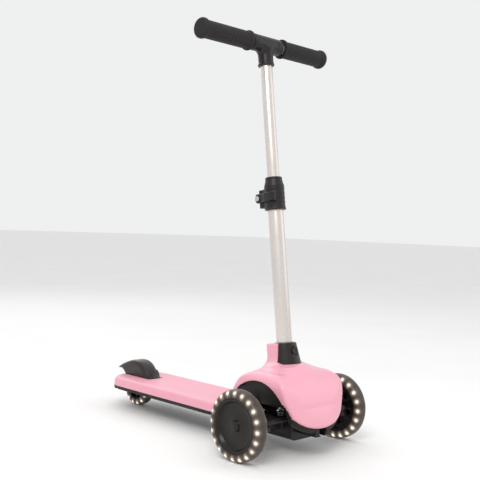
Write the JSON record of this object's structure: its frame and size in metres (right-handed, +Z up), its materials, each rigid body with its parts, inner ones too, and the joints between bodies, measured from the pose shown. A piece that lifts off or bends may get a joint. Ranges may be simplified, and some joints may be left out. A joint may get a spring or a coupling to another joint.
{
  "type": "kick scooter",
  "caption": "Lean-to-steer kick scooter for young children with two wide-set front wheels, a rear wheel under a foot-brake mudguard, a low deck and a height-adjustable T-bar.",
  "frame": {"origin": "on the floor, below the centre of the bounding box: midway between the front tongue and the tip of the mudguard, on the scooter's centre plane", "axes": "+Z up, the scooter rolls forwards towards -Y, +X is the rider's left; both axles run along X"},
  "size_m": [0.324, 0.579, 0.7482],
  "materials": {
    "black_body": "moulded, satin",
    "pink_deck": "moulded, satin gloss",
    "pink_cowl": "moulded, satin gloss",
    "black_socket": "satin",
    "black_button": "satin",
    "steel_screws": "satin",
    "steel_fasteners": "satin",
    "spring_steel": "satin",
    "black_truck": "satin",
    "black_hub": "satin",
    "smoky_tyre": "cast smoky translucent polyurethane",
    "light_ring": "clear lenses over lights",
    "bearing_steel": "satin",
    "black_cap": "smooth dished cap",
    "black_fender": "satin",
    "pad_rubber": "satin",
    "silver_tube": "anodised silver",
    "black_bush": "satin",
    "black_clamp": "satin",
    "black_tee": "satin",
    "black_grip": "ribbed rubber"
  },
  "bodies": {
    "chassis": {"chassis": "black_body", "arch_frame": "black_body", "deck_cover": "pink_deck", "front_cowl": "pink_cowl", "stem_socket": "black_socket", "deck_screws": "steel_screws", "cowl_screws": "steel_screws", "lean_pivot_bolt": "steel_fasteners", "lean_pivot_nut": "steel_fasteners", "centring_springs": "spring_steel", "rear_axle_bolt": "steel_fasteners", "rear_axle_nut": "steel_fasteners", "rear_spacers": "steel_fasteners", "brake_pin": "steel_fasteners", "brake_spring": "spring_steel"},
    "release_button": {"release_button": "black_button"},
    "truck": {"front_axle_beam": "black_truck", "left_kingpin": "steel_fasteners", "right_kingpin": "steel_fasteners"},
    "tie_rod": {"tie_rod": "black_truck"},
    "left_knuckle": {"left_knuckle": "black_truck", "left_axle_bolt": "steel_fasteners"},
    "right_knuckle": {"right_knuckle": "black_truck", "right_axle_bolt": "steel_fasteners"},
    "left_wheel": {"left_hub": "black_hub", "left_tyre": "smoky_tyre", "left_lights": "light_ring", "left_bearings": "bearing_steel", "left_hub_cap": "black_cap"},
    "right_wheel": {"right_hub": "black_hub", "right_tyre": "smoky_tyre", "right_lights": "light_ring", "right_bearings": "bearing_steel", "right_hub_cap": "black_cap"},
    "rear_wheel": {"rear_hub": "black_hub", "rear_tyre": "smoky_tyre", "rear_lights": "light_ring", "rear_bearings": "bearing_steel"},
    "fender": {"fender_brake": "black_fender", "brake_pad": "pad_rubber"},
    "lower_bar": {"lower_tube": "silver_tube", "latch_pin": "steel_fasteners", "guide_bush": "black_bush", "tube_clamp": "black_clamp", "clamp_bolt": "steel_fasteners"},
    "clamp_lever": {"clamp_lever": "black_clamp"},
    "upper_bar": {"upper_tube": "silver_tube", "t_junction": "black_tee", "crossbar": "silver_tube", "left_grip": "black_grip", "right_grip": "black_grip"}
  },
  "joints": [
    {"name": "truck_lean", "type": "hinge", "parent": "chassis", "child": "truck", "pos_m": [0, -0.2105, 0.046], "axis": [0, 1, 0], "range_deg": [-12, 12], "stiffness_Nm_per_rad": 60, "deforming": ["centring_springs"]},
    {"name": "left_steer", "type": "hinge", "parent": "truck", "child": "left_knuckle", "pos_m": [0.098, -0.2105, 0.06], "axis": [0, 0, 1], "range_deg": [-8, 8]},
    {"name": "right_steer", "type": "hinge", "parent": "truck", "child": "right_knuckle", "pos_m": [-0.098, -0.2105, 0.06], "axis": [0, 0, 1], "range_deg": [-8, 8]},
    {"name": "tie_rod_shift", "type": "slide", "parent": "truck", "child": "tie_rod", "axis": [1, 0, 0], "range_m": [-0.0045, 0.0045]},
    {"name": "left_spin", "type": "hinge", "parent": "left_knuckle", "child": "left_wheel", "pos_m": [0.131, -0.2105, 0.06], "axis": [1, 0, 0], "continuous": true},
    {"name": "right_spin", "type": "hinge", "parent": "right_knuckle", "child": "right_wheel", "pos_m": [-0.131, -0.2105, 0.06], "axis": [1, 0, 0], "continuous": true},
    {"name": "rear_spin", "type": "hinge", "parent": "chassis", "child": "rear_wheel", "pos_m": [0, 0.2295, 0.04], "axis": [1, 0, 0], "continuous": true},
    {"name": "brake_press", "type": "hinge", "parent": "chassis", "child": "fender", "pos_m": [0, 0.1835, 0.0565], "axis": [-1, 0, 0], "range_deg": [0, 3], "stiffness_Nm_per_rad": 6, "springref_deg": -8.59},
    {"name": "button_press", "type": "slide", "parent": "chassis", "child": "release_button", "axis": [0, 0.9903, -0.1392], "range_m": [0, 0.0022], "stiffness_N_per_m": 600, "springref_m": -0.003},
    {"name": "bar_lift", "type": "slide", "parent": "chassis", "child": "lower_bar", "axis": [0, 0.1392, 0.9903], "range_m": [0, 0.1]},
    {"name": "height_adjust", "type": "slide", "parent": "lower_bar", "child": "upper_bar", "axis": [0, 0.1392, 0.9903], "range_m": [-0.06, 0.07]},
    {"name": "clamp_open", "type": "hinge", "parent": "lower_bar", "child": "clamp_lever", "pos_m": [0, -0.12713, 0.4421], "axis": [-1, 0, 0], "range_deg": [0, 100]}
  ],
  "couplings": [
    {"joint": "left_steer", "follows": "truck_lean", "ratio": -0.58823},
    {"joint": "right_steer", "follows": "truck_lean", "ratio": -0.58823},
    {"joint": "tie_rod_shift", "follows": "truck_lean", "m_per_rad": -0.02}
  ]
}
